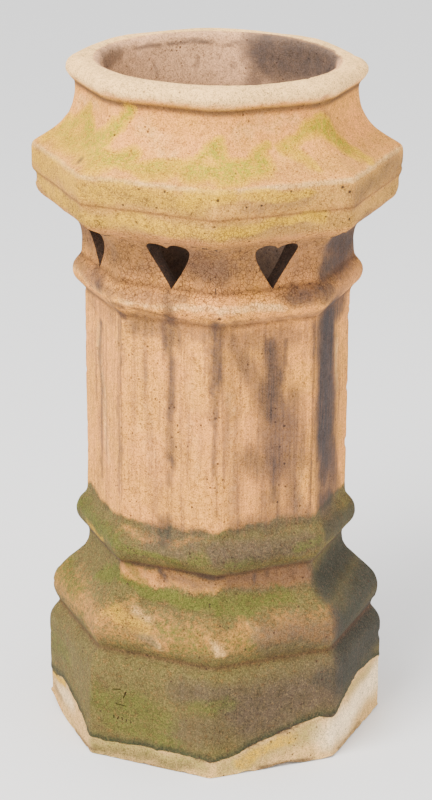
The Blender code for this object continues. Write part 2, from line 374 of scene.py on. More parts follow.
# Dents and breaks that the photograph shows: bearing, level, half width in degrees, half height and depth.
DENTS = [
    (1.8, 0.4975, 1.8, 0.0035, 3.0 * MM),
    (-68.5, 0.474, 1.2, 0.0100, 2.5 * MM),
    (41.0, 0.6580, 1.6, 0.0035, 2.4 * MM),
    (43.8, 0.6520, 1.5, 0.0045, 2.6 * MM),
    (45.1, 0.6234, 1.0, 0.0045, 2.4 * MM),
    (0.5, 0.6581, 0.9, 0.0030, 2.0 * MM),
    (-17.1, 0.6639, 0.9, 0.0030, 1.8 * MM),
    (86.4, 0.6451, 3.0, 0.0060, 2.6 * MM),
    (-5.2, 0.4030, 0.9, 0.0025, 1.6 * MM),
    (21.5, 0.6830, 1.2, 0.0040, 1.0 * MM),
    (102.0, 0.7560, 3.0, 0.0060, 2.5 * MM),
    (-44.5, 0.7480, 4.0, 0.0060, 0.8 * MM),
    (47.0, 0.7450, 3.0, 0.0100, 1.2 * MM),
    (-43.0, 0.0010, 3.0, 0.0080, 3.0 * MM),
    (29.0, 0.0300, 4.0, 0.0060, 1.0 * MM),
    (36.0, 0.0440, 3.0, 0.0040, 1.4 * MM),
]


# Dark pits that the photograph shows: bearing, level, and radius in millimetres.
PITS = [
    (1.8, 0.4978, 2.6), (-6.0, 0.4026, 1.8), (-4.2, 0.4033, 1.5), (0.7, 0.353, 1.6), (-19.0, 0.3645, 1.6),
    (-8.0, 0.331, 1.4), (0.5, 0.6581, 2.2), (-17.0, 0.6639, 1.8), (41.0, 0.658, 2.4), (43.6, 0.653, 2.2),
    (45.0, 0.6234, 2.4), (14.6, 0.649, 1.6), (9.7, 0.6487, 1.4), (-51.7, 0.6775, 1.4), (29.6, 0.385, 1.8),
    (28.8, 0.364, 1.6), (30.2, 0.342, 1.7), (28.2, 0.318, 1.5), (27.6, 0.301, 1.6), (-13.0, 0.299, 1.5),
    (12.0, 0.59, 1.4), (-30.0, 0.64, 1.6), (24.0, 0.661, 1.6), (100.0, 0.756, 2.2),
]


def heart_cutter(name):
    """A heart standing on its point in the XZ plane, as a solid that runs along Y."""
    half = VENT_WIDTH / 2
    notch = VENT_HEIGHT - VENT_NOTCH
    shoulder = 0.79 * VENT_HEIGHT
    corners = [
        ((0, 0), (-0.05 * half, 0.02 * VENT_HEIGHT), (0.22 * half, 0.15 * VENT_HEIGHT)),
        ((half, shoulder), (0.88 * half, 0.58 * VENT_HEIGHT), (1.06 * half, 0.93 * VENT_HEIGHT)),
        ((0.54 * half, VENT_HEIGHT), (0.80 * half, VENT_HEIGHT), (0.28 * half, VENT_HEIGHT)),
        ((0, notch), (0.08 * half, notch + 0.4 * VENT_NOTCH), (-0.08 * half, notch + 0.4 * VENT_NOTCH)),
        ((-0.54 * half, VENT_HEIGHT), (-0.28 * half, VENT_HEIGHT), (-0.80 * half, VENT_HEIGHT)),
        ((-half, shoulder), (-1.06 * half, 0.93 * VENT_HEIGHT), (-0.88 * half, 0.58 * VENT_HEIGHT)),
    ]
    curve = bpy.data.curves.new(name, "CURVE")
    curve.dimensions = "2D"
    curve.fill_mode = "BOTH"
    curve.resolution_u = 8
    curve.extrude = 45 * MM
    spline = curve.splines.new("BEZIER")
    spline.bezier_points.add(len(corners) - 1)
    spline.use_cyclic_u = True
    for point, (place, before, after) in zip(spline.bezier_points, corners):
        point.co = (*place, 0)
        point.handle_left = (*before, 0)
        point.handle_right = (*after, 0)
    cutter = bpy.data.objects.new(name, curve)
    bpy.context.scene.collection.objects.link(cutter)
    bpy.ops.object.select_all(action="DESELECT")
    bpy.context.view_layer.objects.active = cutter
    cutter.select_set(True)
    bpy.ops.object.convert(target="MESH")
    cutter = bpy.context.view_layer.objects.active
    bpy.ops.object.mode_set(mode="EDIT")
    bpy.ops.mesh.select_all(action="SELECT")
    bpy.ops.mesh.remove_doubles(threshold=0.01 * MM)
    bpy.ops.mesh.normals_make_consistent(inside=False)
    bpy.ops.object.mode_set(mode="OBJECT")
    return cutter


def carve(body, cutter):
    """Cuts a solid out of the pot and removes the cutter."""
    bpy.ops.object.select_all(action="DESELECT")
    bpy.context.view_layer.objects.active = body
    body.select_set(True)
    cut = body.modifiers.new("Carve", "BOOLEAN")
    cut.operation = "DIFFERENCE"
    cut.object = cutter
    bpy.ops.object.modifier_apply(modifier=cut.name)
    bpy.data.objects.remove(cutter)


def face_place(bearing, aside, distance, level):
    """Matrix that sets a thing drawn in XZ on a face, that far from the axis, facing out."""
    return (
        Matrix.Rotation(radians(bearing + FRONT_ARRIS), 4, "Z")
        @ Matrix.Translation((aside, -distance, level))
    )


# How far each heart leans on its face, in degrees.
VENT_TILTS = (-1.5, 1.0, -0.8, 1.6, 0.5, -1.2)


def cut_vents(body):
    """Cuts the six hearts, each a little off its face's middle."""
    for number, bearing in enumerate(VENTED):
        cutter = heart_cutter(f"heart_{number}")
        tilt = Matrix.Rotation(radians(VENT_TILTS[number]), 4, "Y")
        place = face_place(bearing, VENT_ASIDE[bearing] + 2.9 * MM, 0.135, VENT_TIP)
        cutter.data.transform(place @ tilt @ Matrix.Rotation(pi / 2, 4, "X"))
        carve(body, cutter)


# Strokes that stand in for the worn inscription: across and up from the first, length, and slope in degrees.
STROKES = [
    (-1.0, 0.0, 10.0, 8.0),
    (8.5, -5.0, 9.0, 68.0),
    (4.0, -18.5, 13.0, -3.0),
    (-5.0, -34.5, 4.0, 80.0),
    (0.0, -35.0, 4.5, 62.0),
    (5.0, -35.5, 4.0, 95.0),
    (10.0, -36.5, 4.5, 75.0),
    (15.0, -37.0, 4.0, 100.0),
]

# The face that they are pressed into, their floor's distance from the axis, and the first one's place.
STROKE_FACE = -22.5
STROKE_FLOOR = 0.1728
FIRST_STROKE_ASIDE = -39 * MM
FIRST_STROKE_LEVEL = 0.085


def cut_strokes(body):
    """Presses the strokes into the plinth's front left face."""
    for number, (across, up, length, slope) in enumerate(STROKES):
        bpy.ops.object.select_all(action="DESELECT")
        bpy.ops.mesh.primitive_cube_add(size=1)
        cutter = bpy.context.view_layer.objects.active
        cutter.name = f"stroke_{number}"
        size = Matrix.Diagonal((length * MM, 6.0 * MM, 1.5 * MM, 1))
        aside = FIRST_STROKE_ASIDE + across * MM
        place = face_place(STROKE_FACE, aside, STROKE_FLOOR + 3 * MM, FIRST_STROKE_LEVEL + up * MM)
        cutter.data.transform(place @ Matrix.Rotation(-radians(slope), 4, "Y") @ size)
        bpy.ops.object.mode_set(mode="EDIT")
        bpy.ops.mesh.select_all(action="SELECT")
        bpy.ops.mesh.bevel(offset=0.35 * MM, segments=2, affect="EDGES")
        bpy.ops.object.mode_set(mode="OBJECT")
        carve(body, cutter)


# Where the weather has marked the pot, and where shade and highlights are painted, as strokes of a soft brush:
# half width in millimetres, strength, and the stroke's path as bearings and levels in millimetres. Past 90
# degrees is the hidden side, kept plainer.
WEATHER = {
    "ochre": [
        (17, 0.75, [(-180, 651), (180, 651)]), (12, 0.9, [(-180, 624), (180, 624)]),
        (10, 0.45, [(-180, 678), (180, 678)]), (4, 0.8, [(-180, 739), (180, 739)]),
        (10, 0.5, [(-40, 240), (-90, 240)]), (14, 0.35, [(14, 24), (40, 36)]),
    ],
    # Pale: washed clay on the rim and the foot, and painted highlights along the crown's arris and the upper
    # bead.
    "pale_and_highlight": [
        (13, 1.0, [(-180, 757), (180, 757)]), (17, 0.3, [(-30, 716), (-23, 702), (-19, 690)]),
        (12, 0.3, [(8, 716), (32, 724)]), (9, 0.3, [(-84, 720), (-60, 724)]),
        (3, 0.6, [(-90, 666), (90, 666)]), (8, 0.25, [(24, 690), (34, 684)]),
        (5, 0.42, [(-40, 525), (30, 525)]), (5, 0.35, [(-90, 525), (-52, 525)]),
        (14, 0.2, [(-35, 460), (-30, 350)]), (10, 0.2, [(-10, 440), (-8, 330)]),
        (14, 0.3, [(-72, 470), (-60, 330)]), (6, 0.25, [(7, 430), (8, 290)]),
        (8, 0.3, [(41, 335), (40, 280)]), (6, 0.5, [(74, 462), (74, 400)]), (6, 0.6, [(0, 160), (3, 146)]),
        (7, 0.5, [(-31, 176), (-26, 168)]), (5, 0.6, [(-26, 152), (-20, 146)]),
        (4, 0.5, [(14, 175), (18, 166)]), (6, 0.5, [(14, 158), (24, 156)]),
        (16, 1.0, [(46, 26), (75, 36), (90, 40)]), (8, 0.6, [(-66, 28), (-84, 22)]),
    ],
    # Brown: damp on the shaft and plinth, and painted shade in thin lines under the lip and at the creases, and
    # round the neck under the crown.
    "brown_damp_and_shade": [
        (24, 1.0, [(-16, 578), (3, 572)]), (9, 0.6, [(-42, 655), (-22, 650)]),
        (8, 0.5, [(-16, 652), (-4, 648)]), (9, 0.45, [(16, 655), (30, 650)]),
        (9, 0.5, [(-60, 628), (-40, 622)]), (8, 0.4, [(6, 622), (30, 620)]),
        (22, 0.75, [(-46, 574), (-34, 570), (-14, 578)]), (30, 1.1, [(56, 575), (88, 570)]),
        (32, 0.72, [(-64, 578), (-30, 575)]), (32, 0.72, [(-28, 578), (48, 576)]),
        (24, 0.8, [(95, 574), (180, 574)]), (24, 0.8, [(-180, 574), (-60, 574)]),
        (6, 0.6, [(-60, 532), (-40, 534), (-12, 534)]), (14, 0.5, [(50, 530), (90, 530)]),
        (4, 0.6, [(-90, 508), (90, 507)]), (12, 0.75, [(-37, 497), (-17, 491)]),
        (9, 0.55, [(-16, 499), (8, 495)]), (13, 0.65, [(10, 491), (38, 484)]),
        (10, 0.4, [(-80, 496), (-52, 492)]), (14, 0.8, [(8, 487), (16, 453), (24, 420)]),
        (20, 0.9, [(26, 472), (26, 400), (28, 350)]), (18, 0.8, [(36, 412), (39, 366)]),
        (22, 0.8, [(17, 352), (30, 335), (38, 350)]), (12, 0.6, [(27, 320), (27, 288)]),
        (14, 0.85, [(34, 345), (38, 286)]), (12, 0.7, [(10, 276), (44, 280)]),
        (8, 0.6, [(-32, 268), (-4, 268)]), (8, 0.75, [(-21, 508), (-21, 400), (-20, 350)]),
        (5, 0.6, [(0, 500), (0, 400)]), (14, 0.42, [(5, 480), (10, 300)]), (20, 0.65, [(27, 300), (28, 276)]),
        (9, 0.7, [(28, 538), (48, 537)]), (5, 0.6, [(-46, 505), (-46, 300)]),
        (34, 1.25, [(58, 480), (63, 400), (66, 290)]), (4, 0.4, [(-33, 500), (-33, 420)]),
        (12, 0.35, [(-69, 480), (-69, 300)]), (12, 0.85, [(2, 247), (45, 249)]),
        (8, 0.6, [(-30, 253), (-5, 251)]), (8, 0.8, [(-24, 212), (8, 212)]), (13, 1.0, [(8, 212), (46, 212)]),
        (9, 0.45, [(-45, 215), (-26, 213)]), (18, 0.8, [(20, 155), (48, 150)]),
        (8, 0.5, [(-35, 165), (-24, 150)]), (34, 0.95, [(14, 75), (46, 85)]),
        (14, 0.7, [(-10, 98), (12, 98)]), (28, 0.7, [(50, 100), (84, 110)]), (20, 0.5, [(-10, 50), (6, 60)]),
        (3.5, 0.7, [(-180, 736), (180, 736)]), (12, 0.55, [(46, 650), (92, 650)]),
        (6, 0.4, [(8, 648), (30, 645)]), (6, 0.45, [(42, 735), (50, 716)]), (3, 0.8, [(-90, 220), (90, 220)]),
        (20, 0.5, [(100, 480), (140, 300)]), (18, 0.4, [(-170, 480), (-150, 300)]),
        (14, 0.6, [(95, 248), (180, 248)]),
    ],
    "dirt": [
        (5, 0.5, [(-44, 5), (-8, 7)]), (4.5, 0.6, [(-88, 14), (-80, 12)]), (3, 0.7, [(-62, 1), (-44, 3)]),
        (2.5, 0.6, [(-32, 1), (-12, 1)]), (3, 0.9, [(17, 1), (37, 2)]), (3, 0.6, [(50, 2), (72, 3)]),
        (2, 0.8, [(13, 29), (18, 35)]), (2.5, 0.9, [(25, 41), (33, 48)]), (2, 0.7, [(41, 53), (46, 51)]),
        (2, 0.6, [(-5, 20), (2, 18)]), (3, 0.5, [(100, 2), (170, 2)]), (3, 0.5, [(-170, 2), (-110, 2)]),
        (2.5, 0.7, [(-37, 519), (-21, 513)]), (3, 0.5, [(-46, 512), (-36, 508)]),
        (3, 0.6, [(-26, 216), (-25, 204)]), (3.5, 0.6, [(-19, 217), (-18, 208)]),
        (4, 0.6, [(-4, 219), (3, 218)]), (2, 0.6, [(26, 219), (27, 204)]), (3, 0.5, [(38, 215), (40, 203)]),
        (5, 0.4, [(12, 217), (18, 212)]), (4, 0.5, [(20, 130), (40, 130)]),
    ],
    "worn": [
        (9, 0.85, [(-43, 211), (45, 211)]), (18, 0.36, [(-92, 158), (-2, 158)]),
        (15, 0.36, [(0, 160), (48, 158)]), (8, 0.4, [(-34, 178), (-24, 160), (-20, 150)]),
        (6, 0.55, [(0, 160), (3, 146)]), (9, 0.45, [(11, 173), (24, 156)]), (12, 0.4, [(27, 166), (44, 150)]),
        (12, 0.2, [(-76, 178), (-46, 160)]), (4, 0.3, [(-44, 259), (-6, 259)]),
        (8, 0.4, [(120, 212), (160, 210)]), (8, 0.5, [(-170, 211), (-130, 212)]),
        (8, 0.4, [(150, 165), (170, 150)]), (8, 0.4, [(-150, 170), (-140, 150)]),
    ],
    "green": [
        (6.5, 1.0, [(-62, 190), (-52, 197), (-41, 201), (-29, 194), (-14, 190), (1, 189)]),
        (7, 0.7, [(1, 189), (15, 187), (34, 188)]), (5, 0.7, [(-32, 204), (-39, 214), (-46, 226)]),
        (8, 0.8, [(-104, 252), (-60, 252), (-45, 248)]), (5, 0.7, [(-42, 241), (-14, 239)]),
        (5, 0.55, [(-9, 241), (-1, 240)]), (5, 0.5, [(7, 238), (20, 239)]), (6, 0.6, [(37, 245), (49, 251)]),
        (6, 0.6, [(-20, 166), (-6, 163)]), (9, 0.6, [(-14, 150), (-4, 150)]), (8, 0.5, [(6, 160), (14, 150)]),
        (12, 0.7, [(-96, 172), (-66, 166)]), (6, 0.45, [(-60, 145), (-48, 140)]),
        (18, 0.6, [(-42, 70), (-18, 60)]), (12, 0.6, [(-36, 42), (-14, 34)]), (10, 0.5, [(-6, 80), (6, 86)]),
        (14, 0.6, [(-86, 82), (-70, 80)]), (12, 0.62, [(6, 8), (22, 20), (38, 34)]),
        (8, 0.5, [(60, 58), (80, 60)]), (4, 0.6, [(-87, 36), (-76, 42)]), (9, 0.75, [(-44, 9), (-3, 12)]),
        (10, 0.6, [(110, 190), (180, 192)]), (10, 0.6, [(-180, 192), (-112, 196)]),
        (16, 0.5, [(130, 70), (175, 70)]), (16, 0.5, [(-170, 60), (-120, 70)]),
        (6, 0.45, [(30, 200), (36, 192)]), (10, 0.35, [(56, 158), (74, 150)]),
    ],
    "lichen": [
        (5, 1.0, [(0, 713), (-3, 701), (-7, 689)]), (8, 1.0, [(0, 704), (2, 691), (10, 685), (16, 691)]),
        (9, 0.9, [(-10, 681), (5, 680), (18, 681)]), (4, 0.8, [(14, 695), (21, 699)]),
        (5, 0.7, [(-12, 683), (-24, 677)]), (7, 0.8, [(27, 694), (34, 704), (38, 715), (44, 717)]),
        (9, 0.95, [(40, 712), (47, 710), (51, 700), (56, 690)]), (5, 0.7, [(55, 690), (63, 676)]),
        (5, 0.6, [(29, 690), (34, 682)]), (9, 0.8, [(-86, 690), (-76, 705), (-68, 709)]),
        (9, 1.0, [(-66, 700), (-56, 690), (-48, 700), (-44, 713)]),
        (7, 1.0, [(-46, 700), (-40, 723), (-38, 731)]), (8, 0.9, [(-45, 690), (-38, 684), (-33, 691)]),
        (5, 0.8, [(-36, 682), (-21, 678)]), (12, 0.75, [(-84, 686), (-42, 684)]),
        (13, 0.32, [(-90, 652), (-45, 655), (-5, 655)]), (8, 0.55, [(-9, 655), (4, 661)]),
        (5, 0.45, [(8, 660), (30, 656)]), (9, 0.34, [(-84, 628), (-45, 625), (-5, 622)]),
        (6, 0.45, [(0, 624), (36, 628)]), (8, 0.22, [(-41, 168), (-25, 158)]),
        (6, 0.25, [(-77, 240), (-54, 240)]), (10, 0.3, [(12, 14), (30, 30)]),
        (5, 0.5, [(-89, 34), (-77, 40)]), (9, 0.8, [(108, 700), (125, 690), (142, 706)]),
        (10, 0.7, [(162, 690), (180, 700)]), (10, 0.8, [(-152, 700), (-130, 690), (-108, 696)]),
    ],
    "soot": [
        (27, 1.2, [(60, 488), (60, 420), (61, 368)]), (18, 0.9, [(62, 372), (63, 325)]),
        (14, 0.9, [(62, 494), (80, 494)]), (12, 0.5, [(72, 330), (80, 285)]),
        (10, 0.5, [(56, 285), (70, 276)]), (20, 0.8, [(58, 590), (70, 572), (84, 560)]),
        (12, 0.8, [(52, 550), (80, 548)]), (9, 0.6, [(58, 246), (92, 240)]),
        (17, 1.0, [(53, 188), (92, 206)]), (21, 1.0, [(55, 150), (92, 166)]),
        (15, 0.95, [(53, 122), (92, 125)]), (22, 1.1, [(53, 96), (92, 100)]),
        (18, 0.6, [(95, 160), (128, 158)]), (9, 0.62, [(25.5, 476), (26.5, 400)]),
        (4, 0.5, [(33.5, 477), (33.5, 452)]), (16, 0.42, [(22, 424), (34, 384), (30, 345)]),
        (2, 0.7, [(29.7, 392), (29, 350), (28, 298)]), (9, 0.65, [(-0.5, 504), (0, 440)]),
        (1.5, 0.6, [(0.8, 430), (0.6, 340)]), (6, 0.45, [(-21, 510), (-21, 400)]),
        (4, 0.4, [(-20, 352), (-20, 318)]), (6, 0.6, [(-21, 278), (-20, 262)]),
        (4, 0.5, [(-69, 472), (-69, 300)]), (2.5, 0.8, [(-20, 541), (-20, 524)]),
        (8, 0.5, [(-92, 534), (-62, 532)]), (7, 0.7, [(-20, 526), (-19, 503)]),
        (7, 0.65, [(-68, 537), (-56, 531)]), (11, 0.62, [(34, 536), (52, 530)]),
        (6, 0.6, [(-48, 516), (-42, 508)]), (3, 0.6, [(-45, 520), (-40, 518)]),
        (5, 0.7, [(-24, 276), (-23, 258)]), (4, 0.7, [(-25, 218), (-22, 208)]),
        (1.5, 0.8, [(27, 222), (27, 205)]), (3, 0.7, [(-6, 220), (5, 220)]), (3, 0.4, [(20, 217), (20, 206)]),
        (2, 1.0, [(-69.5, 481), (-67, 470)]), (2, 0.4, [(-62, 482), (-62, 330)]),
        (1.6, 0.4, [(-75, 500), (-75, 380)]), (1.4, 0.45, [(-44, 500), (-44, 290)]),
        (1.4, 0.4, [(1.4, 500), (1.4, 290)]), (1.8, 0.5, [(46, 500), (46, 290)]),
        (10, 0.4, [(40, 100), (48, 90)]), (2, 0.8, [(-52, 676), (-51, 674)]),
        (8, 0.35, [(110, 480), (114, 330)]), (7, 0.3, [(-130, 480), (-132, 350)]),
    ],
}


# The same for the soot and the cracks inside the mouth.
SOOT_INSIDE = [
    (34, 1.0, [(106, 742), (154, 742)]), (14, 0.6, [(160, 745), (164, 700)]),
    (10, 0.5, [(-118, 752), (-104, 750)]), (2, 0.7, [(-176, 751), (-166, 753), (-154, 751)]),
    (2, 0.6, [(-150, 750), (-143, 752), (-134, 751)]), (2, 0.5, [(176, 747), (168, 752), (160, 752)]),
    (3, 0.35, [(-170, 735), (-168, 722)]), (3, 0.35, [(-146, 730), (-147, 716)]),
    (3, 0.4, [(172, 728), (173, 722)]),
]


# The creases between the members, where shade is painted: level, and half width in millimetres.
SHADED_CREASES = [(0.1275, 3.0), (0.2215, 3.0), (0.5050, 2.4), (0.6365, 2.0), (0.7375, 2.6), (0.5435, 3.0)]


def paint_weather(body, section_levels, section_flats):
    """Stores how strongly each kind of weather, painted shade and painted highlight marks every point, for the
    material to break up.
    """
    mesh = body.data
    points = points_of(mesh)
    bearing = bearings_of(points)
    level = points[:, 2]
    radius = np.hypot(points[:, 0], points[:, 1])
    flat = radius * np.cos(np.radians(wrap((bearing % 45) - 22.5)))
    wall = np.interp(level, section_levels, section_flats)
    buried = smooth_step(4 * MM, 14 * MM, wall - flat)
    buried = np.where(level > 0.750, smooth_step(0.1335, 0.1312, radius), buried)
    drift = noise_at(points, 0.045, 11)
    waver = noise_at(points, 0.014, 12)
    strayed_bearing = bearing + 1.6 * drift + 0.9 * waver
    strayed_level = level / MM + 5.0 * noise_at(points, 0.040, 13) + 2.4 * noise_at(points, 0.013, 14)
    layers = {}
    for kind, strokes in WEATHER.items():
        total = np.zeros(len(points))
        for half_width, strength, path in strokes:
            thin = half_width < 3.5 or path[0][0] == -180 and path[-1][0] == 180
            at = bearing + 0.25 * waver if thin else strayed_bearing
            high = level / MM if thin else strayed_level
            total = np.maximum(total, strength * brushed(at, high, half_width, path))
        layers[kind] = total * (1 - buried)
    above = level - mortar_level(bearing) + 1.5 * MM * noise_at(points, 0.012, 6)
    green_line = 272 + 5 * smooth_step(0, 20, bearing)
    film = smooth_step(5, -5, strayed_level - green_line) * (1 - buried)
    layers["film"] = film * (1 - layers["worn"])
    layers["mortar"] = 0.5 + above / (40 * MM) + buried
    layers["inside"] = buried
    for half_width, strength, path in SOOT_INSIDE:
        wavy = (bearing + 4 * drift, strayed_level) if half_width > 5 else (bearing, level / MM + waver)
        sooty = strength * brushed(*wavy, half_width, path)
        layers["soot"] = np.maximum(layers["soot"], sooty * buried)
    layers["soot"] = np.maximum(layers["soot"], 0.9 * smooth_step(0.690, 0.640, level) * buried)
    # Painted shade: darker along the creases between the members.
    crease_shade = sum(np.exp(-((level - high) / (wide * MM)) ** 2) for high, wide in SHADED_CREASES)
    layers["crease_shade"] = crease_shade * (1 - buried)
    crazed = brushed(bearing, level / MM, 52, [(-200, 572), (200, 572)])
    runs = smooth_step(0.225, 0.285, level) * smooth_step(0.53, 0.49, level)
    layers["streaked"] = (0.25 + 0.75 * runs) * (1 - 0.7 * smooth_step(90, 130, np.abs(bearing)))
    crazed = np.maximum(crazed, 0.30 * brushed(bearing, level / MM, 32, [(-200, 662), (200, 662)]))
    layers["crazed"] = crazed * (1 - buried)
    for kind, values in layers.items():
        store = mesh.attributes.new(kind, "FLOAT", "POINT")
        store.data.foreach_set("value", np.clip(values, 0, 1).astype(np.float32))
    mark_cuts(mesh, section_levels, section_flats)


def mark_cuts(mesh, section_levels, section_flats):
    """Marks the faces inside the hearts and on the floors of the strokes, where a painted shade darkens them.
    """
    shaded_cuts = np.zeros(len(mesh.polygons), np.float32)
    stroke_face = outward(STROKE_FACE)
    for polygon in mesh.polygons:
        x, y, z = polygon.center
        around = wrap(degrees(atan2(x, -y)) - FRONT_ARRIS)
        if VENT_TIP < z < VENT_TIP + VENT_HEIGHT + 3.5 * MM:
            face = 45 * round((around - 22.5) / 45) + 22.5
            deep = np.interp(z, section_levels, section_flats) - hypot(x, y) * cos(radians(around - face))
            edge_on = abs(polygon.normal.dot(outward(face))) < 0.5
            shaded_cuts[polygon.index] = edge_on and -1 * MM < deep < 24 * MM
        at_floor = abs(polygon.center.dot(stroke_face) - STROKE_FLOOR) < 0.6 * MM
        if at_floor and 0.04 < z < 0.10 and polygon.normal.dot(stroke_face) > 0.95:
            shaded_cuts[polygon.index] = abs(around - STROKE_FACE) < 16 and polygon.area < 40 * MM * MM
    mesh.attributes.new("shaded_cuts", "FLOAT", "FACE").data.foreach_set("value", shaded_cuts)


# The tones of the clay, of what has settled on it, and of the painted shade, as sRGB.
TINTS = {
    "streak": "9A6840", "scrape": "7A543A", "ochre": "B08638", "fleck": "7C5C30", "damp_and_shade": "5C4638",
    "inside": "CFA27C", "film": "454A28", "damp_film": "4F4033", "pale_film": "6E6A38",
    "dark_film": "423C28", "green": "50561A",
    "bare": "D9AC6A", "dull_bare": "A0844A", "pale_bare": "FFE2B4", "green_bare": "7E7A34",
    "lichen": "D09E08", "lichen_core": "7C8408", "tide": "2B3120", "soot": "303033", "soot_on_film": "2E3029",
    "dirt": "3F3026", "crease_shade": "4C3120", "cut_shade_tone": "44342A", "crazing": "4A2E1E", "pore": "38241A",
    "pit": "33251E", "speck": "5E3D26",
}

# The clay's textures: size of their features in millimetres, detail, roughness, and the scale of each axis.
# The sand is a little coarser than the real one, which would be too fine to show.
GRAINS = {
    "broad": (60, 3, 0.6, (1, 1, 1)),
    "patchy": (12, 6, 0.72, (1, 1, 1)),
    "mottle": (5, 4, 0.75, (1, 1, 1)),
    "fine": (2.6, 3, 0.75, (1, 1, 1)),
    "sand": (1.3, 2, 0.7, (1, 1, 1)),
    "streaks": (6, 4, 0.65, (1, 1, 0.05)),
    "scrapes": (1.8, 2, 0.6, (1, 1, 0.03)),
    "rings": (2.2, 2, 0.6, (0.06, 0.06, 1)),
    "crazed_parts": (22, 2, 0.5, (1, 1, 1)),
    "porous_parts": (25, 2, 0.5, (1, 1, 1)),
}

# Where a texture shows as a mark of its own: the texture, and where the mark begins and is full.
SHOWN = {
    "peach": ("broad", 0.35, 0.65), "streak": ("streaks", 0.46, 0.68), "scrape": ("scrapes", 0.50, 0.68),
    "fleck": ("mottle", 0.54, 0.70), "pale_film": ("fine", 0.50, 0.72), "dark_film": ("patchy", 0.54, 0.36),
    "dull_bare": ("patchy", 0.44, 0.62), "lichen_core": ("mottle", 0.40, 0.56), "speck": ("fine", 0.55, 0.70),
    "crazing": ("crazed_parts", 0.36, 0.50), "pores": ("porous_parts", 0.46, 0.60),
}

# What is painted on the pot's points and faces for the material to break up.
MARKS = [
    "ochre", "pale_and_highlight", "brown_damp_and_shade", "dirt", "green", "lichen", "soot", "film", "mortar", "inside", "crease_shade",
    "streaked", "crazed", "shaded_cuts",
]

# How much each texture lightens and darkens the clay. With the start, they even out to about 1.
LIGHTNESS_START = -1.95
LIGHTNESS = {"broad": 0.6, "patchy": 0.7, "mottle": 1.2, "fine": 1.5, "sand": 1.9}

# Sizes of the crazing's cells and of the pores' spacing.
CRAZING_CELL = 4.6 * MM
PORE_SPACING = 8 * MM

# Settings that nodes share.
TIMES = {"operation": "MULTIPLY", "use_clamp": True}
PLUS = {"operation": "ADD", "use_clamp": True}
LESS = {"operation": "SUBTRACT", "use_clamp": True}
MOST = {"operation": "MAXIMUM", "use_clamp": True}
GAIN = {"operation": "MULTIPLY_ADD"}
EASED = {"interpolation_type": "SMOOTHSTEP"}
LAYERED = {"data_type": "RGBA"}


class NodeBench:
    """A material's node tree, with one short call that adds a node and links its inputs."""

    def __init__(self, name):
        self.material = bpy.data.materials.new(name)
        self.material.use_nodes = True
        self.tree = self.material.node_tree
        self.shader = self.tree.nodes["Principled BSDF"]
        self.place = self.tree.nodes.new("ShaderNodeTexCoord").outputs["Object"]

    def add(self, kind, settings=None, give=0, **inputs):
        """Adds a node, with settings on it and inputs on its sockets by name or number, and gives an output."""
        node = self.tree.nodes.new("ShaderNode" + kind)
        for key, value in (settings or {}).items():
            setattr(node, key, value)
        for key, value in inputs.items():
            socket = node.inputs[int(key[1:]) if key[0] == "_" else key.replace("_", " ")]
            if isinstance(value, bpy.types.NodeSocket):
                self.tree.links.new(value, socket)
            else:
                socket.default_value = value
        return node.outputs[give]

    def link(self, source, target):
        """Links an output to one of the shader's inputs."""
        self.tree.links.new(source, self.shader.inputs[target])


def shaken(bench, size_mm):
    """Object coordinates pushed about a little, so that cells and pits lose their even edges."""
    push = bench.add("TexNoise", None, "Color", Vector=bench.place, Scale=1 / (6 * MM), Detail=2)
    centred = bench.add("VectorMath", {"operation": "SUBTRACT"}, _0=push, _1=(0.5, 0.5, 0.5))
    scaled = bench.add("VectorMath", {"operation": "SCALE"}, _0=centred, Scale=size_mm * MM)
    return bench.add("VectorMath", {"operation": "ADD"}, _0=bench.place, _1=scaled)


